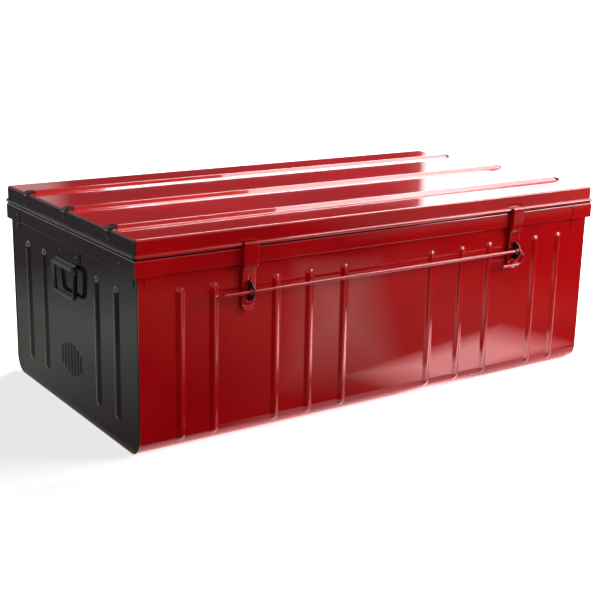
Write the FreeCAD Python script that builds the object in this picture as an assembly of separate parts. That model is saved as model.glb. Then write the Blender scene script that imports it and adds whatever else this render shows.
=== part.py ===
"""Steel storage trunk: pressed-rib body, rim band with corner clips, hinged lid, two hasps, lock rod, two bails.

Millimetres. X runs along the trunk, Y from front (-) to back (+), Z up. The origin is at the middle of the
trunk's underside. "Out" is the distance outward from the outer face of the body's wall on the side in question.
"""

import FreeCAD, Part
import math
import os

V = FreeCAD.Vector

# ---- Body: a U-shaped sheet (front, floor, back) closed by two end panels
body_length = 980.0
body_depth = 518.0
body_height = 324.2          # top of the rim band, on which the lid sits
corner_radius = 30.0         # lower front and back corners
sheet = 0.9
end_flange = 12.0            # end panel's flange, inside the U-shaped sheet
seam_width = 4.0             # raised seam around the end panel
seam_proud = 0.8

# ---- Pressed ribs
rib_width = 16.0
rib_height = 4.0
front_rib_x = (97.0, 169.0, 237.0, 355.0, 416.0)
front_rib_bottom = 22.0
front_rib_drop = 24.0        # below the band
end_rib_y = (110.0, 183.0)
end_rib_bottom = 40.0
end_rib_drop = 29.0

# ---- Vent slots in the end panels: height of each slot, from the middle outwards
vent_z = 93.6
vent_pitch = 13.0
vent_slot_width = 3.0
vent_slot_heights = (59.0, 55.0, 45.0, 32.0)

# ---- Rim band around the top of the body
band_height = 25.5
band_proud = 6.2
upstand_height = 19.0        # lip that stands up inside the lid
upstand_inset = 1.8

# ---- Corner clips
clip_sheet = 0.9
clip_front_leg = 45.0
clip_end_leg = 55.0
clip_tongue_width = 30.0
clip_tongue_height = 19.0
clip_tongue_start = 12.0
clip_rivet_from_corner = 47.0

# ---- Lid
skirt_gap = 3.3              # body wall to the skirt's inner face
wire_radius = 2.4
bead_gap = 3.45              # band top to the underside of the lid's bead
bead_bite = 0.6              # how far the bead reaches back through the skirt
lid_rise = 27.0              # bead centre to the lid's top
lid_fold_radius = 3.0
lid_rib_y = (-168.0, 0.0, 168.0)
lid_rib_width = 28.0
lid_rib_top_width = 16.0
lid_rib_height = 6.0
lid_rib_slope = 13.0         # length over which a rib comes down at each end
lid_rib_nose = 4.5           # how far a rib stands out of the end skirt
lid_rib_tail = 14.0          # how far its point runs down the end skirt
lid_rib_face = 3.0           # height of its upright face
lid_rib_point = 3.0          # width of its point

# ---- Hinges at the back
hinge_x = 295.0
hinge_width = 40.0
hinge_sheet = 1.4
lid_open_angle = 105.0
stop_reach = 15.0            # stop tab's tip, outward from the hinge axis
stop_width = 14.0
stop_root = 9.0              # stop tab's root and bend, below its tip
stop_bend = 5.0
hinge_rivet_spacing = 24.0
hinge_leaf_foot = 1.0        # band's lower edge to the leaf's
hinge_barrel_extra = 0.5

# ---- Hasps, staples and lock rod at the front
hasp_x = 293.5
hasp_width = 26.0
hasp_sheet = 1.2
hasp_head_out = 15.2         # outer face of the hasp's head
hasp_head_height = 37.0      # bead centre to the head's lower edge
hasp_head_bend = 7.0         # bead centre to the bend over the head
hasp_neck_rise = 2.0         # neck's two bends, above and below the head's lower edge
hasp_neck_fall = 4.0
hasp_tip_drop = 112.0        # bead centre to the tongue's lowest point
hasp_tongue_bend = 0.6       # how far the tongue turns out half-way down, and at its tip
hasp_tongue_tip = 2.4
hasp_strap_play = 1.8        # staple's foot to the strap
hasp_slot_play = 1.8         # staple to the ends of the slot
hasp_eye_extra = 0.7
staple_sheet = 1.6
staple_height = 33.0
staple_out = 24.5
staple_foot_width = 18.0
staple_foot_height = 48.0
staple_rivet_inset = 4.5
rod_radius = 3.0
rod_drop = 77.5              # bead centre to the rod
rod_out = 16.5
rod_hole_gap = 2.5           # play between rod and staple
rod_bend_radius = 13.25
rod_bend_start = 1.2         # staple to the start of the hook's bend
rod_tail = 35.5
rod_tip_x = -356.0           # padlock hole in the flattened tip
rod_tip_width = 9.4
rod_tip_sheet = 2.4
rod_flat_length = 10.0       # padlock hole to the end of the round bar
rod_flat_lap = 4.0
padlock_hole_radius = 3.0

# ---- End handles
handle_plate_width = 96.0
handle_plate_bottom = 270.5
handle_plate_top = 290.0
handle_web_root = 1.5        # plate's lower edge to the top of the web that joins the barrel
handle_sheet = 1.2
bail_radius = 4.0
bail_out = 9.0
bail_pivot_z = 262.0
bail_drop = 50.0
bail_top_half = 47.0
bail_bottom_half = 42.0
bail_bend = 10.0             # bend radius of the lower corners
bail_elbow = 5.0             # bend radius beside the barrel
handle_rivet_y = 34.0
handle_rivet_z = 281.0

# ---- Rivets and clearances
rivet_radius = 2.0
rivet_head_radius = 4.0
rivet_head_height = 1.6
rivet_tail_radius = 3.2
rivet_tail_height = 1.0
rivet_play = 0.05
running_fit = 0.05
gap = 0.4                    # between pieces that pass each other
lap = 0.05                   # between sheets that lie together

# ---- Places that follow from the sizes above
half_length = body_length / 2
half_depth = body_depth / 2
wall_top = body_height - sheet
band_bottom = body_height - band_height
skirt_out = skirt_gap + sheet
bead_radius = wire_radius + running_fit + sheet
bead_out = skirt_gap + bead_radius - bead_bite
bead_z = body_height + bead_gap + bead_radius
lid_top = bead_z + lid_rise
barrel_bore = wire_radius + running_fit
barrel_radius = barrel_bore + hinge_sheet + hinge_barrel_extra
hasp_eye_radius = barrel_bore + hasp_sheet + hasp_eye_extra
rod_y = -half_depth - rod_out
rod_z = bead_z - rod_drop
rod_hole_radius = rod_radius + rod_hole_gap


def box(x0, x1, y0, y1, z0, z1):
    return Part.makeBox(x1 - x0, y1 - y0, z1 - z0, V(x0, y0, z0))


def rod(start, direction, radius, length):
    return Part.makeCylinder(radius, length, start, direction)


def plan_box(out, z0, z1):
    """A block whose sides stand a distance out from the body's walls."""
    return box(-half_length - out, half_length + out, -half_depth - out, half_depth + out, z0, z1)


def ring(out0, out1, z0, z1):
    """A rectangular ring between two distances out from the body's walls."""
    return plan_box(out1, z0, z1).cut(plan_box(out0, z0 - 1, z1 + 1))


def prism(points, shift):
    """A polygon through the points, pushed along shift."""
    return Part.Face(Part.makePolygon(points + [points[0]])).extrude(shift)


def side_prism(points, x0, x1):
    """A polygon of (y, z) points, from x0 to x1."""
    return prism([V(x0, y, z) for y, z in points], V(x1 - x0, 0, 0))


def thick_line(points, thickness):
    """The outline of a bent strip: its middle line's points, offset to both sides with mitred corners."""
    sides = [[], []]
    for i, (y, z) in enumerate(points):
        before = points[max(i - 1, 0)]
        after = points[min(i + 1, len(points) - 1)]
        normals = []
        for a, b in ((before, (y, z)), ((y, z), after)):
            length = math.hypot(b[0] - a[0], b[1] - a[1])
            if length > 0:
                normals.append(((b[1] - a[1]) / length, -(b[0] - a[0]) / length))
        ny = sum(n[0] for n in normals) / len(normals)
        nz = sum(n[1] for n in normals) / len(normals)
        scale = thickness / 2 / (ny * ny + nz * nz)
        sides[0].append((y + ny * scale, z + nz * scale))
        sides[1].append((y - ny * scale, z - nz * scale))
    return sides[0] + sides[1][::-1]


def u_block(inset, x0, x1, top):
    """The body's cross-section, drawn in by inset and filled, from x0 to x1."""
    w = half_depth - inset
    r = corner_radius - inset
    c = r * (1 - math.sqrt(0.5))
    edges = [
        Part.LineSegment(V(x0, -w, top), V(x0, -w, inset + r)),
        Part.Arc(V(x0, -w, inset + r), V(x0, -w + c, inset + c), V(x0, -w + r, inset)),
        Part.LineSegment(V(x0, -w + r, inset), V(x0, w - r, inset)),
        Part.Arc(V(x0, w - r, inset), V(x0, w - c, inset + c), V(x0, w, inset + r)),
        Part.LineSegment(V(x0, w, inset + r), V(x0, w, top)),
        Part.LineSegment(V(x0, w, top), V(x0, -w, top)),
    ]
    return Part.Face(Part.Wire([e.toShape() for e in edges])).extrude(V(x1 - x0, 0, 0))


def rib_pair(foot, z0, z1):
    """A pressed rib's outer and inner forms. foot is the point on the wall's outer face, with its outward normal."""
    point, outward = foot
    radius = (rib_width ** 2 / 4 + rib_height ** 2) / (2 * rib_height)
    centre = point + outward * (rib_height - radius)
    end = rib_width / 2
    forms = []
    for r in (radius, radius - sheet):
        low = V(centre.x, centre.y, z0 + end)
        high = V(centre.x, centre.y, z1 - end)
        form = rod(low, V(0, 0, 1), r, high.z - low.z)
        forms.append(form.fuse([Part.makeSphere(r, low), Part.makeSphere(r, high)]))
    return forms


def corner_wedges(out, m, z0, z1):
    """Blocks that hold the front side and the right side, ending in 45 degree mitres through the corners."""
    x, y = half_length + out, half_depth + out
    height = V(0, 0, z1 - z0)
    front = [(-x - m, -y - m), (x + m, -y - m), (x - m, -y + m), (-x + m, -y + m)]
    right = [(x + m, -y - m), (x + m, y + m), (x - m, y - m), (x - m, -y + m)]
    return [prism([V(px, py, z0) for px, py in corners], height) for corners in (front, right)]


def rivet(head, inward, grip):
    """A domed rivet: head is the point under its head, inward points along the shank through the grip."""
    cap_radius = (rivet_head_radius ** 2 + rivet_head_height ** 2) / (2 * rivet_head_height)
    dome = Part.makeSphere(cap_radius, head + inward * (cap_radius - rivet_head_height))
    dome = dome.common(rod(head - inward * (rivet_head_height + 1), inward, rivet_head_radius + 1,
                           rivet_head_height + 1))
    shank = rod(head - inward * (rivet_head_height / 2), inward, rivet_radius, grip + rivet_head_height / 2)
    tail = rod(head + inward * grip, inward, rivet_tail_radius, rivet_tail_height)
    return dome.fuse([shank, tail]).removeSplitter()


def rivet_hole(head, inward):
    """The hole that a rivet passes through."""
    return rod(head - inward * 20, inward, rivet_radius + rivet_play, 24)


def mirrored(shape, axis):
    return shape.mirror(V(0, 0, 0), axis)


X_AXIS = V(1, 0, 0)
Y_AXIS = V(0, 1, 0)

# ---- Where the rivets go: (point under the head, direction of the shank, thickness held)
staple_rivets = {}
hinge_rivets = {}
corner_rivets = {}
handle_rivets = {}
staple_rivet_z = (staple_foot_height / 2 - staple_rivet_inset, staple_rivet_inset - staple_foot_height / 2)
for name, side in (("left", -1), ("right", 1)):
    staple_rivets[name] = [
        (V(side * hasp_x, -half_depth - staple_sheet, rod_z + dz), V(0, 1, 0), staple_sheet + sheet)
        for dz in staple_rivet_z]
    hinge_rivets[name] = [
        (V(side * hinge_x + dx, half_depth + band_proud + hinge_sheet, body_height - band_height / 2),
         V(0, -1, 0), hinge_sheet + sheet) for dx in (-hinge_rivet_spacing / 2, hinge_rivet_spacing / 2)]
    handle_rivets[name] = [
        (V(side * (half_length + handle_sheet), y, handle_rivet_z), V(-side, 0, 0), handle_sheet + sheet)
        for y in (-handle_rivet_y, handle_rivet_y)]
    for where, back in (("front", -1), ("back", 1)):
        y = back * (half_depth - clip_rivet_from_corner)
        tongue_y = back * (half_depth - clip_tongue_start - clip_tongue_width / 2)
        corner_rivets[where + "_" + name] = [
            (V(side * (half_length + band_proud + clip_sheet), y, body_height - band_height / 2),
             V(-side, 0, 0), clip_sheet + sheet),
            (V(side * (half_length + clip_sheet), tongue_y, band_bottom - clip_tongue_height / 2),
             V(-side, 0, 0), clip_sheet + sheet)]


def holes(*groups):
    return [rivet_hole(head, inward) for group in groups for head, inward, grip in group]


def body_wrap():
    """Front, floor and back in one bent sheet, with ribs pressed out of the front and back."""
    x_end = half_length - sheet
    outer = u_block(0, -x_end, x_end, wall_top)
    inner = u_block(sheet, -x_end - 1, x_end + 1, wall_top + 1)
    outer_ribs, inner_ribs = [], []
    for side in (-1, 1):
        for x in front_rib_x:
            for end in (-1, 1):
                foot = (V(end * x, side * half_depth, 0), V(0, side, 0))
                big, small = rib_pair(foot, front_rib_bottom, band_bottom - front_rib_drop)
                outer_ribs.append(big)
                inner_ribs.append(small)
    shell = outer.fuse(outer_ribs).cut(inner.fuse(inner_ribs))
    return shell.cut(holes(staple_rivets["left"], staple_rivets["right"]))


def end_panel(name):
    """End wall with its seam, pressed ribs, vent slots and a flange that lies inside the bent sheet."""
    face = half_length
    plate = u_block(0, face - sheet, face, wall_top)
    inside = u_block(-50, face - 100, face - sheet, body_height + 100)
    big_ribs, small_ribs = [], []
    for y in end_rib_y:
        for side in (-1, 1):
            big, small = rib_pair((V(face, side * y, 0), V(1, 0, 0)), end_rib_bottom, band_bottom - end_rib_drop)
            big_ribs.append(big)
            small_ribs.append(small)
    panel = plate.fuse(big_ribs).cut(inside.fuse(small_ribs))
    seam = u_block(0, face - sheet / 2, face + seam_proud, band_bottom - clip_sheet - gap)
    seam = seam.cut(u_block(seam_width, face - sheet, face + seam_proud + 1, body_height + 1))
    flange = u_block(sheet + lap, face - end_flange, face - sheet / 2, wall_top)
    flange = flange.cut(u_block(2 * sheet + lap, face - end_flange - 1, face, wall_top + 1))
    panel = panel.fuse([seam, flange])
    slots = []
    for i, height in enumerate(vent_slot_heights):
        for y in {-i * vent_pitch, i * vent_pitch}:
            slots.append(box(face - 5, face + 5, y - vent_slot_width / 2, y + vent_slot_width / 2,
                             vent_z - height / 2, vent_z + height / 2))
    panel = panel.cut(slots)
    if name == "left":
        panel = mirrored(panel, X_AXIS)
    return panel.cut(holes(handle_rivets[name], corner_rivets["front_" + name], corner_rivets["back_" + name]))


def rim_rails():
    """The rim band and its upstand lip, in four lengths that meet in mitres at the corners."""
    band = ring(band_proud - sheet, band_proud, band_bottom, body_height)
    under = ring(0, band_proud, band_bottom, band_bottom + sheet)
    ledge = ring(-upstand_inset - sheet, band_proud, body_height - sheet, body_height)
    upstand = ring(-upstand_inset - sheet, -upstand_inset, body_height - sheet, body_height + upstand_height)
    rim = band.fuse([under, ledge, upstand])
    front, right = corner_wedges(0, 3 * band_proud, band_bottom - 1, body_height + upstand_height + 1)
    rails = {
        "front": rim.common(front),
        "back": rim.common(mirrored(front, Y_AXIS)),
        "right": rim.common(right),
        "left": rim.common(mirrored(right, X_AXIS)),
    }
    rails["back"] = rails["back"].cut(holes(hinge_rivets["left"], hinge_rivets["right"]))
    for name in ("left", "right"):
        upper = [corner_rivets[where + "_" + name][0] for where in ("front", "back")]
        rails[name] = rails[name].cut(holes(upper))
    return rails


def corner_clip(where, name):
    """An angled plate around the band's corner, turned under the band, with a tongue down each wall."""
    x_end, y_end = -half_length, -half_depth
    far = band_proud + clip_sheet
    region = box(x_end - far - 1, x_end + clip_front_leg, y_end - far - 1, y_end + clip_end_leg, 0, body_height)
    low = band_bottom - clip_sheet
    plate = ring(band_proud, far, low, body_height)
    under = ring(0, far, low, band_bottom)
    clip = plate.fuse(under).common(region)
    start, stop = clip_tongue_start, clip_tongue_start + clip_tongue_width
    tongue_low = band_bottom - clip_tongue_height
    front_tongue = box(x_end + start, x_end + stop, y_end - clip_sheet, y_end, tongue_low, band_bottom)
    end_tongue = box(x_end - clip_sheet, x_end, y_end + start, y_end + stop, tongue_low, band_bottom)
    clip = clip.fuse([front_tongue, end_tongue])
    if name == "right":
        clip = mirrored(clip, X_AXIS)
    if where == "back":
        clip = mirrored(clip, Y_AXIS)
    return clip.cut(holes(corner_rivets[where + "_" + name]))


def staple(name):
    """A D-shaped eye plate that stands out through the hasp's slot, on a riveted foot."""
    x = hasp_x if name == "right" else -hasp_x
    face = -half_depth
    radius = staple_height / 2
    centre_y = face - staple_out + radius
    plate = box(x - staple_sheet / 2, x + staple_sheet / 2, centre_y, face, rod_z - radius, rod_z + radius)
    plate = plate.fuse(rod(V(x - staple_sheet / 2, centre_y, rod_z), X_AXIS, radius, staple_sheet))
    plate = plate.cut(rod(V(x - 5, rod_y, rod_z), X_AXIS, rod_hole_radius, 10))
    plate = plate.cut(box(x - 5, x + 5, face, face + 2 * radius, rod_z - 2 * radius, rod_z + 2 * radius))
    foot = box(x - staple_foot_width / 2, x + staple_foot_width / 2, face - staple_sheet, face,
               rod_z - staple_foot_height / 2, rod_z + staple_foot_height / 2)
    return plate.fuse(foot).cut(holes(staple_rivets[name]))


def staple_rivet(spec):
    """A flush rivet in the staple's foot, so that the hasp lies clear of it."""
    head, inward, grip = spec
    shank = rod(head, inward, rivet_radius, grip)
    tail = rod(head + inward * grip, inward, rivet_tail_radius, rivet_tail_height)
    return shank.fuse(tail).removeSplitter()


def hasp(name):
    """A bent strip: eye around the lid's wire, flanged head over the band, slotted strap, turned-out tongue."""
    x = hasp_x if name == "right" else -hasp_x
    x0, x1 = x - hasp_width / 2, x + hasp_width / 2
    axis_y = -half_depth - bead_out
    half = hasp_sheet / 2
    head_y = -half_depth - hasp_head_out + half
    head_low = bead_z - hasp_head_height
    neck_y = -half_depth - band_proud - gap - half
    tongue_radius = hasp_width / 2
    tip_z = bead_z - hasp_tip_drop
    tongue_z = tip_z + tongue_radius
    strap_y = -half_depth - staple_sheet - hasp_strap_play - half
    middle = [
        (axis_y - hasp_eye_radius + half, bead_z),
        (head_y, bead_z - hasp_head_bend),
        (head_y, head_low + hasp_neck_rise),
        (neck_y, head_low - hasp_neck_fall),
        (strap_y, tongue_z),
        (strap_y - hasp_tongue_bend, tongue_z - tongue_radius / 2),
        (strap_y - hasp_tongue_tip, tip_z - 1),
    ]
    strip = side_prism(thick_line(middle, hasp_sheet), x0, x1)
    outline = box(x0, x1, -half_depth - 40, -half_depth, tongue_z, bead_z + 1)
    outline = outline.fuse(rod(V(x, -half_depth - 40, tongue_z), Y_AXIS, tongue_radius, 40))
    strip = strip.common(outline)
    back_y = -half_depth - band_proud - gap
    cheek_low = head_low + hasp_neck_rise
    cheek = [(head_y, cheek_low), (back_y, cheek_low), (back_y, bead_z - barrel_bore - hasp_sheet),
             (axis_y - barrel_bore - hasp_sheet, bead_z), (head_y, bead_z - hasp_head_bend)]
    cheeks = [side_prism(cheek, x0, x0 + hasp_sheet), side_prism(cheek, x1 - hasp_sheet, x1)]
    eye = rod(V(x0, axis_y, bead_z), X_AXIS, hasp_eye_radius, hasp_width)
    body = strip.fuse(cheeks + [eye]).cut(rod(V(x0 - 1, axis_y, bead_z), X_AXIS, barrel_bore, hasp_width + 2))
    slot_half = staple_sheet / 2 + 2 * gap
    slit_half = staple_sheet / 2 + gap
    radius = staple_height / 2 + hasp_slot_play
    slot = box(x - slot_half, x + slot_half, -half_depth - 20, -half_depth, rod_z - radius, rod_z + radius)
    slit = box(x - slit_half, x + slit_half, -half_depth - 20, -half_depth, tip_z - 5, rod_z)
    return body.cut([slot, slit]).removeSplitter()


def lock_rod():
    """A round rod through both staples: flattened tip with a padlock hole, and a U-shaped hook at the other end."""
    bend_x = hasp_x + staple_sheet / 2 + rod_bend_start
    flat_start = rod_tip_x + rod_flat_length
    low_z = rod_z - 2 * rod_bend_radius
    path = [
        Part.LineSegment(V(flat_start, rod_y, rod_z), V(bend_x, rod_y, rod_z)),
        Part.Arc(V(bend_x, rod_y, rod_z), V(bend_x + rod_bend_radius, rod_y, rod_z - rod_bend_radius),
                 V(bend_x, rod_y, low_z)),
        Part.LineSegment(V(bend_x, rod_y, low_z), V(bend_x - rod_tail, rod_y, low_z)),
    ]
    wire = Part.Wire([p.toShape() for p in path])
    section = Part.Wire(Part.makeCircle(rod_radius, V(flat_start, rod_y, rod_z), X_AXIS))
    bar = wire.makePipeShell([section], True, False)
    tip = V(rod_tip_x, rod_y, rod_z - rod_tip_sheet / 2)
    flat = rod(tip, V(0, 0, 1), rod_tip_width / 2, rod_tip_sheet)
    flat = flat.fuse(box(rod_tip_x, flat_start + rod_flat_lap, rod_y - rod_tip_width / 2, rod_y + rod_tip_width / 2,
                         rod_z - rod_tip_sheet / 2, rod_z + rod_tip_sheet / 2))
    flat = flat.cut(rod(tip - V(0, 0, 1), V(0, 0, 1), padlock_hole_radius, rod_tip_sheet + 2))
    nose = Part.makeSphere(rod_radius, V(bend_x - rod_tail, rod_y, low_z))
    return bar.fuse([flat, nose])


def handle_bracket(name):
    """A riveted plate whose lower edge rolls forward into a barrel around the bail."""
    face = half_length
    barrel_length = bail_top_half - bail_elbow - 2 * gap
    outer = bail_radius + running_fit + handle_sheet
    plate = box(face, face + handle_sheet, -handle_plate_width / 2, handle_plate_width / 2,
                handle_plate_bottom, handle_plate_top)
    centre = V(face + bail_out, -barrel_length, bail_pivot_z)
    roll = rod(centre, Y_AXIS, outer, 2 * barrel_length)
    slant = outer * math.sqrt(0.5)
    web_top = handle_plate_bottom + handle_web_root
    web = [(face, web_top), (face + handle_sheet, web_top),
           (face + bail_out, bail_pivot_z + outer), (face + bail_out - slant, bail_pivot_z + slant)]
    web = prism([V(x, -barrel_length, z) for x, z in web], V(0, 2 * barrel_length, 0))
    bore = rod(centre - Y_AXIS, Y_AXIS, bail_radius + running_fit, 2 * barrel_length + 2)
    bracket = plate.fuse([roll, web]).cut(bore)
    if name == "left":
        bracket = mirrored(bracket, X_AXIS)
    return bracket.cut(holes(handle_rivets[name]))


def bail(name):
    """A closed wire loop that hangs from the bracket's barrel."""
    x = half_length + bail_out
    top, low = bail_pivot_z, bail_pivot_z - bail_drop
    corners = [V(x, 0, top), V(x, bail_top_half, top), V(x, bail_bottom_half, low), V(x, 0, low)]
    radii = (bail_elbow, bail_bend)
    edges = []
    start = corners[0]
    for i, r in zip((1, 2), radii):
        a = (corners[i - 1] - corners[i]).normalize()
        b = (corners[i + 1] - corners[i]).normalize()
        half_angle = a.getAngle(b) / 2
        reach = r / math.tan(half_angle)
        centre = corners[i] + (a + b).normalize() * (r / math.sin(half_angle))
        first, last = corners[i] + a * reach, corners[i] + b * reach
        middle = centre + (corners[i] - centre).normalize() * r
        edges.append(Part.LineSegment(start, first).toShape())
        edges.append(Part.Arc(first, middle, last).toShape())
        start = last
    edges.append(Part.LineSegment(start, corners[3]).toShape())
    section = Part.Wire(Part.makeCircle(bail_radius, corners[0], Y_AXIS))
    half = Part.Wire(edges).makePipeShell([section], True, False)
    loop = half.fuse(mirrored(half, Y_AXIS)).removeSplitter()
    return mirrored(loop, X_AXIS) if name == "left" else loop


def hinge_leaf(name):
    """A leaf on the band, with a barrel around the lid's wire and a tab that stops the open lid."""
    x = hinge_x if name == "right" else -hinge_x
    x0, x1 = x - hinge_width / 2, x + hinge_width / 2
    axis_y = half_depth + bead_out
    face = half_depth + band_proud
    plate = box(x0, x1, face, face + hinge_sheet, band_bottom + hinge_leaf_foot, bead_z - barrel_bore)
    barrel = rod(V(x0, axis_y, bead_z), X_AXIS, barrel_radius, hinge_width)
    angle = math.radians(lid_open_angle)
    skirt_behind_axis = bead_out - skirt_out
    stop_z = bead_z + (skirt_behind_axis + stop_reach * math.cos(angle)) / math.sin(angle) - gap
    tip_y = axis_y + stop_reach - hinge_sheet / 2
    tab = [(face + hinge_sheet / 2, stop_z - stop_root), (tip_y, stop_z - stop_bend), (tip_y, stop_z)]
    tab = thick_line(tab, hinge_sheet)
    tab = side_prism(tab, x - stop_width / 2, x + stop_width / 2)
    leaf = plate.fuse([barrel, tab]).cut(rod(V(x0 - 1, axis_y, bead_z), X_AXIS, barrel_bore, hinge_width + 2))
    return leaf.cut(holes(hinge_rivets[name])).removeSplitter()


def bead(radius):
    """A round bar around the lid's lower edge, bent around the corners."""
    x, y = half_length + bead_out, half_depth + bead_out
    r = lid_fold_radius + bead_out - skirt_out
    c = r * (1 - math.sqrt(0.5))
    start = V(0, -y, bead_z)
    edges, last = [], start
    for sx, sy in ((1, -1), (1, 1), (-1, 1), (-1, -1)):
        along_x = V(sx * (x - r), sy * y, bead_z)
        along_y = V(sx * x, sy * (y - r), bead_z)
        first, then = (along_x, along_y) if sx * sy < 0 else (along_y, along_x)
        edges.append(Part.LineSegment(last, first).toShape())
        edges.append(Part.Arc(first, V(sx * (x - c), sy * (y - c), bead_z), then).toShape())
        last = then
    edges.append(Part.LineSegment(last, start).toShape())
    section = Part.Wire(Part.makeCircle(radius, start, X_AXIS))
    return Part.Wire(edges).makePipeShell([section], True, False)


def lid_pan():
    """The lid's top, skirts and rolled bead in one piece, with three ribs that run over both ends."""
    outer = plan_box(skirt_out, bead_z, lid_top)
    inner = plan_box(skirt_gap, bead_z - 20, lid_top - sheet)
    shells = []
    for block, radius in ((outer, lid_fold_radius), (inner, lid_fold_radius - sheet)):
        top = block.BoundBox.ZMax
        edges = [e for e in block.Edges if e.BoundBox.ZMax > top - 0.01]
        shells.append(block.makeFillet(radius, edges))
    outer, inner = shells
    x_end = half_length + skirt_out
    x_slope, x_nose = x_end - lid_rib_slope, x_end + lid_rib_nose
    ribs, hollows = [], []
    for y in lid_rib_y:
        for forms, drop in ((ribs, 0.0), (hollows, sheet)):
            wide = lid_rib_width / 2 - drop
            narrow = lid_rib_top_width / 2 - drop / 2
            top = lid_top + lid_rib_height - drop
            low = lid_top - drop
            forms.append(side_prism([(y - wide, low - 2), (y - wide, low), (y - narrow, top), (y + narrow, top),
                                     (y + wide, low), (y + wide, low - 2)], -x_slope, x_slope))
        top, tail = lid_top + lid_rib_height, lid_top - lid_rib_tail
        side = [(x_slope - 1, top), (x_slope, top), (x_nose, lid_top), (x_nose, lid_top - lid_rib_face),
                (x_end - sheet / 2, tail), (x_end - sheet / 2, lid_top - lid_fold_radius),
                (x_end - lid_fold_radius, lid_top - sheet / 2), (x_slope - 1, lid_top - sheet / 2)]
        side = prism([V(x, y - lid_rib_width, z) for x, z in side], V(0, 2 * lid_rib_width, 0))
        wide, narrow, point = lid_rib_width / 2, lid_rib_top_width / 2, lid_rib_point / 2
        front = [(y - wide, lid_top), (y - narrow, top), (y + narrow, top), (y + wide, lid_top),
                 (y + point, tail), (y - point, tail)]
        nose = side.common(side_prism(front, x_slope - 2, x_nose + 1))
        ribs += [nose, mirrored(nose, X_AXIS)]
    shell = outer.fuse(ribs).cut(inner.fuse(hollows))
    shell = shell.fuse(bead(bead_radius)).cut(bead(barrel_bore))
    notches = []
    for side in (-1, 1):
        for x, width, y, r in ((hasp_x, hasp_width, -half_depth, hasp_eye_radius),
                               (hinge_x, hinge_width, half_depth, barrel_radius)):
            half = width / 2 + gap
            notches.append(box(side * x - half, side * x + half, y - 20, y + 20,
                               bead_z - 20, bead_z + r + gap))
    return shell.cut(notches)


nodes = {"body_wrap": body_wrap(), "lid_pan": lid_pan(), "lid_rim_wire": bead(wire_radius), "lock_rod": lock_rod()}
for name, rail in rim_rails().items():
    nodes["rim_rail_" + name] = rail
for name in ("left", "right"):
    nodes["end_panel_" + name] = end_panel(name)
    nodes["staple_" + name] = staple(name)
    nodes["hasp_" + name] = hasp(name)
    nodes["handle_bracket_" + name] = handle_bracket(name)
    nodes["handle_bail_" + name] = bail(name)
    nodes["hinge_leaf_" + name] = hinge_leaf(name)
    for where in ("front", "back"):
        nodes["corner_clip_" + where + "_" + name] = corner_clip(where, name)
        for level, spec in zip(("upper", "lower"), corner_rivets[where + "_" + name]):
            nodes["corner_rivet_" + where + "_" + name + "_" + level] = rivet(*spec)
    for level, spec in zip(("upper", "lower"), staple_rivets[name]):
        nodes["staple_rivet_" + name + "_" + level] = staple_rivet(spec)
    for place, spec in zip(("inner", "outer") if name == "right" else ("outer", "inner"), hinge_rivets[name]):
        nodes["hinge_rivet_" + name + "_" + place] = rivet(*spec)
    for place, spec in zip(("front", "back"), handle_rivets[name]):
        nodes["handle_rivet_" + name + "_" + place] = rivet(*spec)

os.makedirs("parts", exist_ok=True)
for name, shape in sorted(nodes.items()):
    solids = shape.Solids
    print(name, "valid" if shape.isValid() else "INVALID", len(solids), round(shape.Volume / 1000, 2), "cm3")
    (solids[0] if len(solids) == 1 else shape).exportStep("parts/" + name + ".step")
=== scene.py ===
"""Steel storage trunk.

A body of pressed sheet with a rim band, a hinged lid with a rolled bead, hasps, a lock rod and bail handles.
"""

import math

import bmesh
import bpy
from mathutils import Matrix, Vector


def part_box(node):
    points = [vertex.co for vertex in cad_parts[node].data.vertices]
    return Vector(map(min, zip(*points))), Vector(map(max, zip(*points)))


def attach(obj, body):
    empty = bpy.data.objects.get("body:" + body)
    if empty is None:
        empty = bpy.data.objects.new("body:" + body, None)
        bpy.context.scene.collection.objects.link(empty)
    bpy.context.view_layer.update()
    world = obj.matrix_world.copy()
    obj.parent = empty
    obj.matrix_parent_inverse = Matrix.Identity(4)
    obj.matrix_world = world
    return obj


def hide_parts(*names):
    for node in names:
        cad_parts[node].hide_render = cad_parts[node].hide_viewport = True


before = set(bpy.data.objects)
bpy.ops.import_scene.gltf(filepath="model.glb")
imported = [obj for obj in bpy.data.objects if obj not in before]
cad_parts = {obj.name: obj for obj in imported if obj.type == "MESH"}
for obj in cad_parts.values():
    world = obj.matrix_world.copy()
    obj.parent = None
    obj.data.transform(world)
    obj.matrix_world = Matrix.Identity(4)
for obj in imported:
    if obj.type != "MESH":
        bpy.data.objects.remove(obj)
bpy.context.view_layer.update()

bl_info = {
    "name": "Steel Storage Trunk",
    "version": (1, 0, 0),
    "blender": (4, 5, 0),
    "location": "View3D > Sidebar > Trunk",
    "description": "Builds the pieces and finishes of a sheet-steel storage trunk on its packed frame",
    "category": "Object",
}

MM = 0.001
SIDES = {"left": -1, "right": 1}

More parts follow.
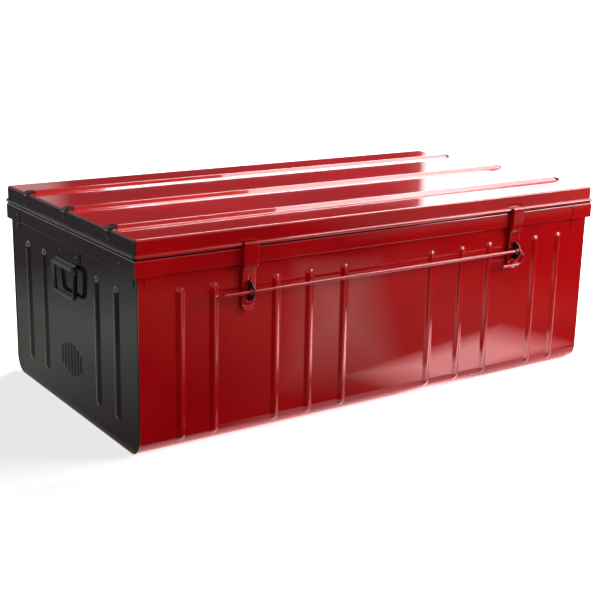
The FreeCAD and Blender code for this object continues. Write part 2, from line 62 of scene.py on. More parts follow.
# Places read from the frame
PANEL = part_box("end_panel_right")
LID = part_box("lid_pan")
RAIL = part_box("rim_rail_front")
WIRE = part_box("lid_rim_wire")
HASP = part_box("hasp_right")
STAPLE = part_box("staple_right")
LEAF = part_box("hinge_leaf_right")
HALF_DEPTH = PANEL[1].y
WALL_TOP = PANEL[1].z
BEAD_Z = (WIRE[0].z + WIRE[1].z) / 2
WIRE_RADIUS = (WIRE[1].z - WIRE[0].z) / 2
BAND_OUT = -RAIL[0].y - HALF_DEPTH
HALF_LENGTH = RAIL[1].x - BAND_OUT
BAND_LOW = RAIL[0].z
BEAD_OUT = WIRE[1].y - WIRE_RADIUS - HALF_DEPTH
BEAD_RADIUS = LID[1].y - HALF_DEPTH - BEAD_OUT
HASP_X = (HASP[0].x + HASP[1].x) / 2
HINGE_X = (LEAF[0].x + LEAF[1].x) / 2
ROD_Z = (STAPLE[0].z + STAPLE[1].z) / 2

# Places on the lid. Its skirt runs down into the inner side of the bead.
SKIRT_IN_BEAD = 1.5 * MM
SKIRT_OUT = BEAD_OUT - BEAD_RADIUS + SKIRT_IN_BEAD
LID_END = HALF_LENGTH + SKIRT_OUT
LID_RIB_HEIGHT = 6.0 * MM
LID_TOP = LID[1].z - LID_RIB_HEIGHT
LID_RIB_Y = 168.0 * MM

# Room left round the hasps and the hinges, and half the width of each opening for them
FITTING_GAP = 0.4 * MM
HASP_HALF = (HASP[1].x - HASP[0].x) / 2 + FITTING_GAP
HINGE_HALF = (LEAF[1].x - LEAF[0].x) / 2 + FITTING_GAP


# ---------------------------------------------------------------- settings

def length(name, description, default):
    return bpy.props.FloatProperty(name=name, description=description, default=default, min=0.0,
                                   unit="LENGTH", precision=5)


def share(name, description, default):
    return bpy.props.FloatProperty(name=name, description=description, default=default, min=0.0, max=1.0,
                                   subtype="FACTOR")


def colour(name, description, default):
    return bpy.props.FloatVectorProperty(name=name, description=description, default=default, size=3,
                                         min=0.0, max=1.0, subtype="COLOR")


class TrunkSizes(bpy.types.PropertyGroup):
    sheet: length("Sheet", "Thickness of the body and lid sheet", 0.9 * MM)
    rib_width: length("Rib width", "Width of a pressed wall rib at its foot", 18.5 * MM)
    rib_height: length("Rib height", "How far a rib stands out of the front and back", 2.5 * MM)
    end_rib_width: length("End rib width", "Width of a rib on an end at its foot", 25.0 * MM)
    end_rib_height: length("End rib height", "How far a rib stands out of an end", 3.4 * MM)
    corner_radius: length("Corner radius", "Bend of the lower front and back edges", 30.0 * MM)
    fold_radius: length("Fold radius", "Bend of the lid's folded edges", 2.6 * MM)
    lid_rib_width: length("Lid rib width", "Width of a lid rib at its foot", 28.0 * MM)
    lid_rib_top: length("Lid rib top", "Width of a lid rib along its top", 15.0 * MM)
    lid_rib_height: length("Lid rib height", "Height of a lid rib", LID_RIB_HEIGHT)
    lid_rib_nose: length("Lid rib nose", "How far a lid rib stands out at the end fold", 4.2 * MM)
    lid_rib_tail: length("Lid rib tail", "How far a lid rib's point runs down the end skirt", 17.0 * MM)
    lid_rib_slope: length("Lid rib slope", "Length over which a lid rib comes down at each end", 13.0 * MM)
    seam_width: length("Seam width", "Width of the folded seam around an end panel", 4.0 * MM)
    seam_proud: length("Seam height", "How far the folded seam stands out", 0.8 * MM)
    band_round: length("Band rounding", "Rounding of the rim band's outer edges", 1.1 * MM)
    cap_lap: length("Cap lap", "How far a corner cap hangs below the rim band", 1.2 * MM)
    tongue_inset: length("Cap tongue inset", "Distance of a cap's tongue from the corner", 12.0 * MM)
    tongue_width: length("Cap tongue width", "Width of a cap's tongue", 28.0 * MM)
    vent_slot: length("Vent slot", "Width of one vent slot", 2.2 * MM)
    vent_pitch: length("Vent pitch", "Distance between vent slots", 13.0 * MM)
    vent_lip: length("Vent lip", "How far the rolled rims of the vent slots stand out", 1.1 * MM)
    hasp_fold: length("Strap fold", "Height of the fold down the middle of a hasp's strap", 0.7 * MM)
    tongue_dish: length("Tongue dish", "How far the rim of a hasp's tongue turns out", 3.6 * MM)
    hasp_strip: length("Hasp strip", "Thickness of the hasps' strip steel", 1.2 * MM)


class TrunkColours(bpy.types.PropertyGroup):
    enamel: colour("Enamel", "Main enamel", (0.54, 0.004, 0.006))
    enamel_deep: colour("Deep enamel", "Where the enamel lies thicker", (0.40, 0.001, 0.003))
    # Painted shade: the red enamel of the ends, darkened to near-black as if in deep shade
    ends: colour("Ends", "Enamel of both ends", (0.012, 0.009, 0.009))
    # Painted shade on the lid ribs' folded ends, which face the shaded end
    nose_shade: colour("Rib ends", "Thin enamel on the folded ends of the lid's ribs", (0.034, 0.005, 0.005))
    # Painted shade in the dark gap under the lid's bead
    ledge: colour("Ledge", "Ledge and lip under the lid", (0.014, 0.001, 0.001))
    # Painted shade on the staples, which lie in deep shade
    black: colour("Black steel", "Blackened steel of the staples", (0.012, 0.011, 0.012))
    inside: colour("Inside", "Thin coat inside the trunk", (0.22, 0.012, 0.012))
    zinc: colour("Zinc", "Plated wire and rivets", (0.52, 0.53, 0.55))
    gloss: share("Gloss roughness", "Roughness of the enamel under its clear coat", 0.16)


def sizes():
    return bpy.context.scene.trunk_sizes


def colours():
    return bpy.context.scene.trunk_colours


# ---------------------------------------------------------------- finishes

class Value:
    """A socket's value. Arithmetic on it adds Math nodes."""

    def __init__(self, finish, socket):
        self.finish = finish
        self.socket = socket

    def math(self, operation, a, b=0.0):
        return self.finish.node("ShaderNodeMath", {"operation": operation}, {0: a, 1: b})

    def __add__(self, other):
        return self.math("ADD", self, other)

    __radd__ = __add__

    def __sub__(self, other):
        return self.math("SUBTRACT", self, other)

    def __rsub__(self, other):
        return self.math("SUBTRACT", other, self)

    def __mul__(self, other):
        return self.math("MULTIPLY", self, other)

    __rmul__ = __mul__

    def __gt__(self, other):
        return self.math("GREATER_THAN", self, other)

    def __abs__(self):
        return self.math("ABSOLUTE", self)

    def lesser(self, other):
        return self.math("MINIMUM", self, other)

    def greater(self, other):
        return self.math("MAXIMUM", self, other)


class Finish:
    """A material under construction, with one Principled shader. Its patterns lie on object coordinates."""

    def __init__(self, name):
        self.material = bpy.data.materials.new(name)
        self.material.use_nodes = True
        self.tree = self.material.node_tree
        self.tree.nodes.clear()
        self.place = self.node("ShaderNodeTexCoord", out="Object")

    def node(self, kind, settings=None, inputs=None, out=0):
        """Adds a node, sets it up, feeds its sockets with values or links, and gives one of its outputs."""
        made = self.tree.nodes.new(kind)
        for name, setting in (settings or {}).items():
            if name == "stops":
                for i, (position, tone) in enumerate(setting):
                    stops = made.color_ramp.elements
                    stop = stops[i] if i < len(stops) else stops.new(position)
                    stop.position = position
                    stop.color = (tone, tone, tone, 1.0)
            else:
                setattr(made, name, setting)
        for key, value in (inputs or {}).items():
            if isinstance(value, Value):
                self.tree.links.new(value.socket, made.inputs[key])
            else:
                made.inputs[key].default_value = value
        return Value(self, made.outputs[out]) if made.outputs else None

    def noise(self, scale, detail=2.0, roughness=0.5, stretch=None):
        place = self.place
        if stretch:
            place = self.node("ShaderNodeMapping", inputs={"Vector": place, "Scale": stretch})
        return self.node("ShaderNodeTexNoise", inputs={"Vector": place, "Scale": scale, "Detail": detail,
                                                       "Roughness": roughness})

    def axes(self):
        split = self.node("ShaderNodeSeparateXYZ", inputs={0: self.place}).socket.node
        return [Value(self, split.outputs[i]) for i in range(3)]

    def ramp(self, value, *stops):
        return self.node("ShaderNodeValToRGB", {"stops": stops}, {"Fac": value})

    def mix(self, factor, a, b):
        a, b = (c if isinstance(c, Value) else (*c, 1.0) for c in (a, b))
        return self.node("ShaderNodeMix", {"data_type": "RGBA"}, {0: factor, 6: a, 7: b}, out=2)

    def bump(self, height, distance, normal=None):
        inputs = {"Height": height, "Distance": distance, "Strength": 1.0}
        if normal:
            inputs["Normal"] = normal
        return self.node("ShaderNodeBump", inputs=inputs)

    def bevel(self, radius):
        return self.node("ShaderNodeBevel", {"samples": 4}, {"Radius": radius})

    def done(self, **inputs):
        """Closes the material. An input is a socket of the shader, with underscores for its spaces."""
        sockets = {name.replace("_", " "): value for name, value in inputs.items()}
        shader = self.node("ShaderNodeBsdfPrincipled", inputs=sockets, out="BSDF")
        self.node("ShaderNodeOutputMaterial", inputs={"Surface": shader})
        return self.material


PANEL_WAVE = 1.6 * MM
DENT = 0.16 * MM
ORANGE_PEEL = 0.010 * MM
SOFT_EDGE = 0.5 * MM
THIN_COAT_EDGE = 0.4 * MM


def sheet_bump(finish, soft_edge):
    """Rolled sheet under enamel: slow waves across a panel, faint orange peel and slightly rounded edges."""
    waves = finish.bump(finish.noise(5.0, 1.0), PANEL_WAVE, normal=finish.bevel(soft_edge))
    dents = finish.bump(finish.noise(24.0, 2.0, 0.6), DENT, normal=waves)
    return finish.bump(finish.noise(420.0, 1.0), ORANGE_PEEL, normal=dents)


def two_tones(finish, cloud, tone, share_of_tone):
    """A tone, and where the cloud is thin a darker share of it."""
    return finish.mix(cloud, [v * share_of_tone for v in tone], tone)


def glaze(finish, base):
    """Hard gloss enamel over steel sheet, with handling marks in its gloss."""
    c = colours()
    scuffs = finish.ramp(finish.noise(9.0, 6.0, 0.7, (1.0, 1.0, 3.0)), (0.45, 0.0), (0.75, 1.0))
    fine = finish.ramp(finish.noise(160.0, 3.0, 0.7), (0.5, 0.0), (0.8, 1.0))
    rough = c.gloss + scuffs * 0.10 + fine * 0.05
    return finish.done(Base_Color=base, Roughness=rough, Coat_Weight=1.0, Coat_Roughness=0.025, Coat_IOR=1.5,
                       IOR=1.45, Specular_IOR_Level=0.08, Normal=sheet_bump(finish, SOFT_EDGE))


def end_mask(finish, start):
    """1 on the surfaces that belong to the trunk's ends, 0 on its front, back and top. It places the ends'
    painted shade.
    """
    x, y = (abs(axis) for axis in finish.axes()[:2])
    past_mitre = (x - HALF_LENGTH) > (y - HALF_DEPTH)
    return (x > start) * past_mitre


def nose_mask(finish):
    """1 on the sloping ends of the lid's ribs and on their points down the end skirts, where painted shade
    goes.
    """
    s = sizes()
    x, y, z = finish.axes()
    half = s.lid_rib_width / 2
    above_top, past_skirt = 0.6 * MM, 0.3 * MM
    x, y = abs(x), abs(y)
    to_rib = y.lesser(abs(y - LID_RIB_Y))
    foot = (z - (LID_TOP - s.lid_rib_tail)) * (half / s.lid_rib_tail)
    on_rib = foot.lesser(half) > to_rib
    on_slope = (x > LID_END - s.lid_rib_slope) * (z > LID_TOP + above_top)
    return on_rib * on_slope.greater(x > LID_END + past_skirt)


def enamel(name, ends_from=None, nose_shade=False):
    """The main enamel. Past ends_from along the trunk it turns to the ends' colour, which is painted shade.
    """
    c = colours()
    finish = Finish(name)
    cloud = finish.ramp(finish.noise(3.5, 3.0), (0.35, 0.0), (0.7, 1.0))
    base = finish.mix(cloud, c.enamel_deep, c.enamel)
    specks = finish.ramp(finish.noise(700.0, 1.0), (0.70, 0.0), (0.74, 0.6))
    base = finish.mix(specks, base, [v * 0.55 for v in c.enamel_deep])
    if ends_from is not None:
        base = finish.mix(end_mask(finish, ends_from), base, c.ends)
    # Painted shade on the lid ribs' folded ends
    if nose_shade:
        base = finish.mix(nose_mask(finish), base, c.nose_shade)
    return glaze(finish, base)


def end_enamel(name):
    """The enamel of the two ends and the handles, painted near-black as painted shade for the deep shade on
    them.
    """
    finish = Finish(name)
    cloud = finish.ramp(finish.noise(4.0, 3.0), (0.3, 0.0), (0.75, 1.0))
    return glaze(finish, two_tones(finish, cloud, colours().ends, 0.6))


def inside_coat(name):
    """The thin satin coat inside the trunk."""
    finish = Finish(name)
    cloud = finish.ramp(finish.noise(6.0, 4.0, 0.6), (0.3, 0.0), (0.8, 1.0))
    rough = 0.42 + finish.noise(40.0, 3.0) * 0.2
    return finish.done(Base_Color=two_tones(finish, cloud, colours().inside, 0.6), Roughness=rough, IOR=1.45,
                       Normal=sheet_bump(finish, THIN_COAT_EDGE))


def ledge_coat(name):
    """Painted shade: the ledge and lip that the lid shades, painted near-black with a dull finish."""
    finish = Finish(name)
    cloud = finish.ramp(finish.noise(30.0, 4.0, 0.6), (0.3, 0.0), (0.8, 1.0))
    return finish.done(Base_Color=two_tones(finish, cloud, colours().ledge, 0.5), Roughness=0.7 + cloud * 0.2,
                       IOR=1.45, Specular_IOR_Level=0.03, Normal=sheet_bump(finish, THIN_COAT_EDGE))


def black_steel(name):
    """Painted shade: the staples, painted near-black for the deep shade on them, with a glossy finish."""
    finish = Finish(name)
    cloud = finish.ramp(finish.noise(60.0, 4.0, 0.6), (0.3, 0.0), (0.8, 1.0))
    return finish.done(Base_Color=two_tones(finish, cloud, colours().black, 0.6), IOR=1.5,
                       Roughness=0.18 + cloud * 0.15, Normal=sheet_bump(finish, SOFT_EDGE))


def zinc_plate(name):
    """The plated wire and rivets."""
    finish = Finish(name)
    spangle = finish.ramp(finish.noise(90.0, 4.0, 0.6), (0.3, 0.0), (0.7, 1.0))
    return finish.done(Base_Color=two_tones(finish, spangle, colours().zinc, 0.8), Metallic=1.0,
                       Roughness=0.28 + spangle * 0.15, Normal=finish.bevel(0.3 * MM))


def lid_enamel(name):
    """The main enamel, with the ends' painted shade on the end skirts and painted shade on the ribs' folded
    ends.
    """
    return enamel(name, LID_END - 1.2 * MM, True)


def band_enamel(name):
    """The main enamel, with the ends' painted shade round the band's and the bead's corners."""
    return enamel(name, HALF_LENGTH - 0.5 * MM)


MAKERS = {"red_enamel": enamel, "lid_enamel": lid_enamel, "band_enamel": band_enamel,
          "end_enamel": end_enamel, "inside_coat": inside_coat, "ledge_coat": ledge_coat,
          "black_steel": black_steel, "zinc_plate": zinc_plate}
FINISHES = {}


def finish_for(name):
    """Materials are made once and shared."""
    if name not in FINISHES:
        FINISHES[name] = MAKERS[name](name)
    return FINISHES[name]


# ---------------------------------------------------------------- mesh helpers

def everything(bm):
    return bm.verts[:] + bm.edges[:] + bm.faces[:]


def verts_of(geometry):
    return [g for g in geometry if isinstance(g, bmesh.types.BMVert)]


def cut(bm, axis, places):
    """Cuts the mesh across an axis at each place."""
    for place in sorted(set(round(p, 6) for p in places)):
        normal = Vector((0.0, 0.0, 0.0))
        normal[axis] = 1.0
        bmesh.ops.bisect_plane(bm, geom=everything(bm), dist=1e-6, plane_co=normal * place, plane_no=normal)


def block(bm, low, high):
    """A box from its lowest to its highest corner."""
    made = bmesh.ops.create_cube(bm, size=1.0)["verts"]
    low, high = Vector(low), Vector(high)
    bmesh.ops.scale(bm, vec=high - low, verts=made)
    bmesh.ops.translate(bm, vec=(low + high) / 2, verts=made)
    return made


def prism(bm, outline, along):
    """A closed bar, from a flat outline drawn along a vector."""
    ring = [bm.verts.new(point) for point in outline]
    start = bmesh.ops.contextual_create(bm, geom=ring)["faces"]
    grown = bmesh.ops.extrude_face_region(bm, geom=start)["geom"]
    bmesh.ops.translate(bm, vec=along, verts=verts_of(grown))


def drop_faces(bm, test):
    """Deletes the faces whose middle and normal pass a test."""
    bm.normal_update()
    faces = [f for f in bm.faces if test(f.calc_center_median(), f.normal)]
    bmesh.ops.delete(bm, geom=faces, context="FACES")


def soften(bm, edges, radius, segments):
    """Rounds edges."""
    bmesh.ops.bevel(bm, geom=edges, offset=radius, offset_type="OFFSET", segments=segments, profile=0.5,
                    affect="EDGES", material=-1)


def edges_where(bm, test):
    """The edges whose two ends pass a test."""
    return [e for e in bm.edges if test(*(v.co for v in e.verts))]


def mirror_over(bm, axis):
    """Turns the whole mesh into its mirror image, with its faces still outwards."""
    scale = Vector((1.0, 1.0, 1.0))
    scale[axis] = -1.0
    bmesh.ops.scale(bm, vec=scale, verts=bm.verts[:])
    bmesh.ops.reverse_faces(bm, faces=bm.faces[:])


def piece(name, bm, body, nodes, finishes, sheet=0.0, offset=-1.0):
    """Turns a bmesh into a piece that rides on a body and stands for CAD nodes.

    A sheet gets its thickness from a modifier, and a second finish then goes on its inner side.
    """
    mesh = bpy.data.meshes.new(name)
    bm.normal_update()
    bm.to_mesh(mesh)
    bm.free()
    made = bpy.data.objects.new(name, mesh)
    bpy.context.scene.collection.objects.link(made)
    for finish in finishes:
        mesh.materials.append(finish_for(finish))
    mesh.polygons.foreach_set("use_smooth", [True] * len(mesh.polygons))
    if sheet:
        wall = made.modifiers.new("Sheet", "SOLIDIFY")
        wall.thickness = sheet
        wall.offset = offset
        wall.use_even_offset = True
        if len(finishes) > 1:
            wall.material_offset = 1
    flat = made.modifiers.new("Flats", "WEIGHTED_NORMAL")
    flat.keep_sharp = True
    flat.weight = 60
    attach(made, body)
    if nodes:
        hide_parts(*nodes)
    return made


def sharpen(made, degrees):
    """Keeps edges sharper than an angle crisp."""
    made.data.set_sharp_from_angle(angle=math.radians(degrees))


def segment_distance(u, v, low, high):
    """Distance of (u, v) from the upright segment u = 0 between low and high."""
    return math.hypot(u, v - min(max(v, low), high))


def ridge(distance, half_width):
    """A pressed ridge's height, from 1 on its crest to 0 at its foot."""
    t = min(distance / half_width, 1.0)
    return math.cos(t * math.pi / 2) ** 1.8


def ramp_down(value, full, none):
    """1 up to full, 0 from none on, smooth between."""
    t = min(max((value - full) / (none - full), 0.0), 1.0)
    return 1.0 - t * t * (3.0 - 2.0 * t)


def shoulder(value, full, none):
    """1 up to full, 0 from none on. The slope is straight, rounded at its top and creased at its foot."""
    t = (value - full) / (none - full)
    if t > 0.5:
        return max(1.0 - t, 0.0)
    shifts = (-0.12, -0.06, 0.0, 0.06, 0.12)
    return sum(1.0 - min(max(t + shift, 0.0), 1.0) for shift in shifts) / len(shifts)


# ---------------------------------------------------------------- body

FRONT_RIBS = [side * x * MM for x in (97.0, 169.0, 237.0, 355.0, 416.0) for side in (-1, 1)]
FRONT_RIB_SPAN = (14.0 * MM, BAND_LOW - 24.0 * MM)
END_RIBS = [side * y * MM for y in (110.0, 183.0) for side in (-1, 1)]
END_RIB_SPAN = (40.0 * MM, BAND_LOW - 29.0 * MM)
RIB_LINES = (-1.25, -1.0, -0.9, -0.78, -0.6, -0.4, -0.2, 0.0, 0.2, 0.4, 0.6, 0.78, 0.9, 1.0, 1.25)
RIB_END_LINES = (-0.5, -0.2, 0.0, 0.1, 0.22, 0.4, 0.65, 1.0)


def rib_places(centres, half):
    """Where the sheet gets edges across its ribs. The lines are in half widths of a rib."""
    return [c + half * t for c in centres for t in RIB_LINES]


def rib_ends(span, half):
    """Where the sheet gets edges over the round ends of its ribs."""
    low, high = span
    steps = [half * t for t in RIB_END_LINES]
    return [low + s for s in steps] + [high - s for s in steps]


def press_ribs(bm, across, centres, span, half, height, outward_test):
    """Pushes ribs out of the sheet along its own normals."""
    low, high = span[0] + half, span[1] - half
    bm.normal_update()
    moves = []
    for v in bm.verts:
        if outward_test(v):
            d = min(segment_distance(v.co[across] - c, v.co.z, low, high) for c in centres)
            moves.append((v, v.normal * height * ridge(d, half)))
    for v, move in moves:
        v.co += move


class TRUNK_OT_body(bpy.types.Operator):
    """Front, floor and back in one bent sheet with pressed ribs"""

    bl_idname = "trunk.body"
    bl_label = "Body sheet"

    def execute(self, context):
        s = sizes()
        bm = bmesh.new()
        x_end = HALF_LENGTH - s.sheet
        block(bm, (-x_end, -HALF_DEPTH, 0.0), (x_end, HALF_DEPTH, WALL_TOP))
        drop_faces(bm, lambda c, n: abs(n.x) > 0.5 or n.z > 0.5)
        lower = edges_where(bm, lambda a, b: a.z + b.z < MM and abs(a.y - b.y) < MM)
        soften(bm, lower, s.corner_radius, 12)
        half = s.rib_width / 2
        cut(bm, 0, rib_places(FRONT_RIBS, half))
        cut(bm, 2, rib_ends(FRONT_RIB_SPAN, half))
        walls_from = HALF_DEPTH - 0.8 * s.corner_radius
        press_ribs(bm, 0, FRONT_RIBS, FRONT_RIB_SPAN, half, s.rib_height, lambda v: abs(v.co.y) > walls_from)
        piece("body_sheet", bm, "chest", ["body_wrap"], ["red_enamel", "inside_coat"], s.sheet)
        return {"FINISHED"}


VENT_Z = 93.6 * MM
VENT_HEIGHTS = (59.0, 55.0, 45.0, 32.0)
VENT_RIM_WIDTH = 3.5 * MM
VENT_RIM_LINES = (0.0, 0.6, 1.4, 2.4, VENT_RIM_WIDTH / MM)
VENT_RIM_OVERRUN = 1.5 * MM


def vent_slots():
    """Each slot's middle across the panel, with its height. The slots make up a round vent."""
    s = sizes()
    slots = []
    for i, height in enumerate(VENT_HEIGHTS):
        for y in sorted({-i * s.vent_pitch, i * s.vent_pitch}):
            slots.append((y, height * MM))
    return slots


def vent_rim(y, z):
    """Height of the rolled rims beside the vent slots at a place on the panel."""
    s = sizes()
    best = 0.0
    for centre, height in vent_slots():
        beside = abs(y - centre) - s.vent_slot / 2
        if -0.1 * MM < beside < VENT_RIM_WIDTH:
            end = ramp_down(abs(z - VENT_Z), height / 2 - 1.0 * MM, height / 2 + VENT_RIM_OVERRUN)
            best = max(best, s.vent_lip * ramp_down(beside, 0.3 * MM, VENT_RIM_WIDTH) * end)
    return best


class TRUNK_OT_ends(bpy.types.Operator):
    """End panels with their folded seam, pressed ribs and a round vent of slots with rolled rims"""

    bl_idname = "trunk.ends"
    bl_label = "End panels"

    def execute(self, context):
        for name in SIDES:
            self.build(name)
        return {"FINISHED"}

    def build(self, name):
        s = sizes()
        bm = bmesh.new()
        outer = HALF_LENGTH + s.seam_proud
        block(bm, (HALF_LENGTH - s.sheet, -HALF_DEPTH, 0.0), (outer, HALF_DEPTH, WALL_TOP))
        lower = edges_where(bm, lambda a, b: a.z + b.z < MM and abs(a.x - b.x) > s.sheet / 2)
        soften(bm, lower, s.corner_radius, 12)
        drop_faces(bm, lambda c, n: n.x < -0.5 or n.z > 0.5)
        bm.normal_update()
        face = [f for f in bm.faces if f.normal.x > 0.5]
        seam_slope = 0.8 * MM
        bmesh.ops.inset_region(bm, faces=face, thickness=s.seam_width, use_even_offset=True)
        bmesh.ops.inset_region(bm, faces=face, thickness=seam_slope, depth=-s.seam_proud,
                               use_even_offset=True)
        soften(bm, edges_where(bm, lambda a, b: min(a.x, b.x) > outer - 0.01 * MM), 0.3 * MM, 2)
        half = s.end_rib_width / 2
        face_from = HALF_LENGTH - 0.1 * MM
        cut(bm, 1, rib_places(END_RIBS, half))
        cut(bm, 2, rib_ends(END_RIB_SPAN, half))
        self.cut_vent(bm)
        press_ribs(bm, 1, END_RIBS, END_RIB_SPAN, half, s.end_rib_height, lambda v: v.co.x > face_from)
        for v in bm.verts:
            if v.co.x > face_from:
                v.co.x += vent_rim(v.co.y, v.co.z)
        if name == "left":
            mirror_over(bm, 0)
        # The end walls carry the ends' painted shade
        piece("end_wall_" + name, bm, "chest", ["end_panel_" + name],
              ["end_enamel", "inside_coat"], s.sheet)

    def cut_vent(self, bm):
        """Cuts the slots out, with edges round them for their rims."""
        slot_half = sizes().vent_slot / 2
        for y, height in vent_slots():
            cut(bm, 1, [y + side * (slot_half + d * MM) for d in VENT_RIM_LINES for side in (-1, 1)])
            tops = [height / 2 + d for d in (-3.0 * MM, -1.0 * MM, 0.0, VENT_RIM_OVERRUN)]
            cut(bm, 2, [VENT_Z + t for t in tops] + [VENT_Z - t for t in tops])
        drop_faces(bm, lambda c, n: any(abs(c.y - y) < slot_half and abs(c.z - VENT_Z) < height / 2
                                        for y, height in vent_slots()))


# ---------------------------------------------------------------- rim band

# Each rail is drawn in front and then turned: its turn in degrees, half its length, its wall's distance
RAILS = {"front": (0.0, HALF_LENGTH, HALF_DEPTH), "right": (90.0, HALF_DEPTH, HALF_LENGTH),
         "back": (180.0, HALF_LENGTH, HALF_DEPTH), "left": (-90.0, HALF_DEPTH, HALF_LENGTH)}
LIP_ROUND = 0.35 * MM
LEDGE_IN = 1.2 * MM


class TRUNK_OT_band(bpy.types.Operator):
    """Rim band with its ledge and upstand lip, in four mitred lengths"""

    bl_idname = "trunk.band"
    bl_label = "Rim band"

    def execute(self, context):
        for name in RAILS:
            self.build(name)
        return {"FINISHED"}

    def build(self, name):
        s = sizes()
        angle, half, wall = RAILS[name]
        lip = -RAIL[1].y - HALF_DEPTH
        lip_face = lip + s.sheet
        top = WALL_TOP + s.sheet
        lip_top = RAIL[1].z
        profile = [(0.0, BAND_LOW), (BAND_OUT, BAND_LOW), (BAND_OUT, top), (lip_face, top),
                   (lip_face, lip_top), (lip, lip_top), (lip, top - s.sheet), (0.0, top - s.sheet)]
        bm = bmesh.new()
        prism(bm, [(-half, -wall - out, z) for out, z in profile], (2 * half, 0.0, 0.0))
        for v in bm.verts:
            v.co.x += math.copysign(-v.co.y - wall, v.co.x)
        bmesh.ops.recalc_face_normals(bm, faces=bm.faces[:])

        def along(out, z):
            near = 0.1 * MM
            return edges_where(bm, lambda a, b: abs(a.x - b.x) > half and abs(-a.y - wall - out) < near
                               and abs(a.z - z) < near)

        soften(bm, along(BAND_OUT, top) + along(BAND_OUT, BAND_LOW), s.band_round, 4)
        soften(bm, along(lip_face, lip_top) + along(lip, lip_top), LIP_ROUND, 2)
        turn = Matrix.Rotation(math.radians(angle), 3, "Z")
        bmesh.ops.rotate(bm, cent=(0.0, 0.0, 0.0), matrix=turn, verts=bm.verts[:])
        slot = "red_enamel" if name in ("front", "back") else "dark_enamel"
        made = piece("rim_band_" + name, bm, "chest", ["rim_rail_" + name],
                     ["band_enamel", "ledge_coat"])
        sharpen(made, 40.0)
        outwards = turn @ Vector((0.0, -1.0, 0.0))
        # Faces of the ledge and lip get the ledge's painted shade
        for face in made.data.polygons:
            if face.center.dot(outwards) - wall < BAND_OUT - s.band_round - LEDGE_IN:
                face.material_index = 1


class TRUNK_OT_caps(bpy.types.Operator):
    """Sheet caps over the rim band's corners, each with a tongue down both walls"""

    bl_idname = "trunk.caps"
    bl_label = "Corner caps"

    def execute(self, context):
        for depth, end in (("front", -1), ("back", 1)):
            for name, side in SIDES.items():
                self.build(depth + "_" + name, side, end)
        return {"FINISHED"}

    def build(self, corner, side, end):
        s = sizes()
        low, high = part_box("corner_clip_" + corner)
        x_leg, x_out = sorted((abs(low.x), abs(high.x)))
        y_leg, y_out = sorted((abs(low.y), abs(high.y)))
        sunk, under_ledge, tongue_lap, edge_round = 0.1 * MM, 0.9 * MM, 0.5 * MM, 0.3 * MM
        x_in, y_in = HALF_LENGTH + BAND_OUT - sunk, HALF_DEPTH + BAND_OUT - sunk
        bottom, top = BAND_LOW - s.cap_lap, WALL_TOP + s.sheet - under_ledge
        plan = [(x_out, y_out), (x_leg, y_out), (x_leg, y_in), (x_in, y_in), (x_in, y_leg), (x_out, y_leg)]
        bm = bmesh.new()
        prism(bm, [(side * x, end * y, bottom) for x, y in plan], (0.0, 0.0, top - bottom))
        near, far = s.tongue_inset, s.tongue_inset + s.tongue_width
        on_wall = ((HALF_LENGTH - far, HALF_LENGTH - near), (HALF_DEPTH - sunk, HALF_DEPTH + s.sheet))
        on_end = ((HALF_LENGTH - sunk, HALF_LENGTH + s.sheet), (HALF_DEPTH - far, HALF_DEPTH - near))
        for x_span, y_span in (on_wall, on_end):
            xs, ys = sorted(side * x for x in x_span), sorted(end * y for y in y_span)
            block(bm, (xs[0], ys[0], low.z), (xs[1], ys[1], BAND_LOW + tongue_lap))
        bmesh.ops.recalc_face_normals(bm, faces=bm.faces[:])
        soften(bm, bm.edges[:], edge_round, 2)
        made = piece("corner_cap_" + corner, bm, "chest", ["corner_clip_" + corner],
                     ["band_enamel"])
        sharpen(made, 50.0)


# ---------------------------------------------------------------- lid

# Where the lid's sheet gets edges: across a rib in half widths, and down the skirt and in from the ends in mm
LID_RIB_LINES = (0.0, 0.2, 0.4, 0.46, 0.5, 0.535, 0.57, 0.61, 0.97, 1.0, 1.02)
SKIRT_LINES = (1.0, 2.5, 4.0, 5.5, 7.0, 8.5, 10.0, 12.0)
LID_END_LINES = (4.0, 6.5, 9.0, 11.5, 14.0)
TAPER_RISE = 2.2


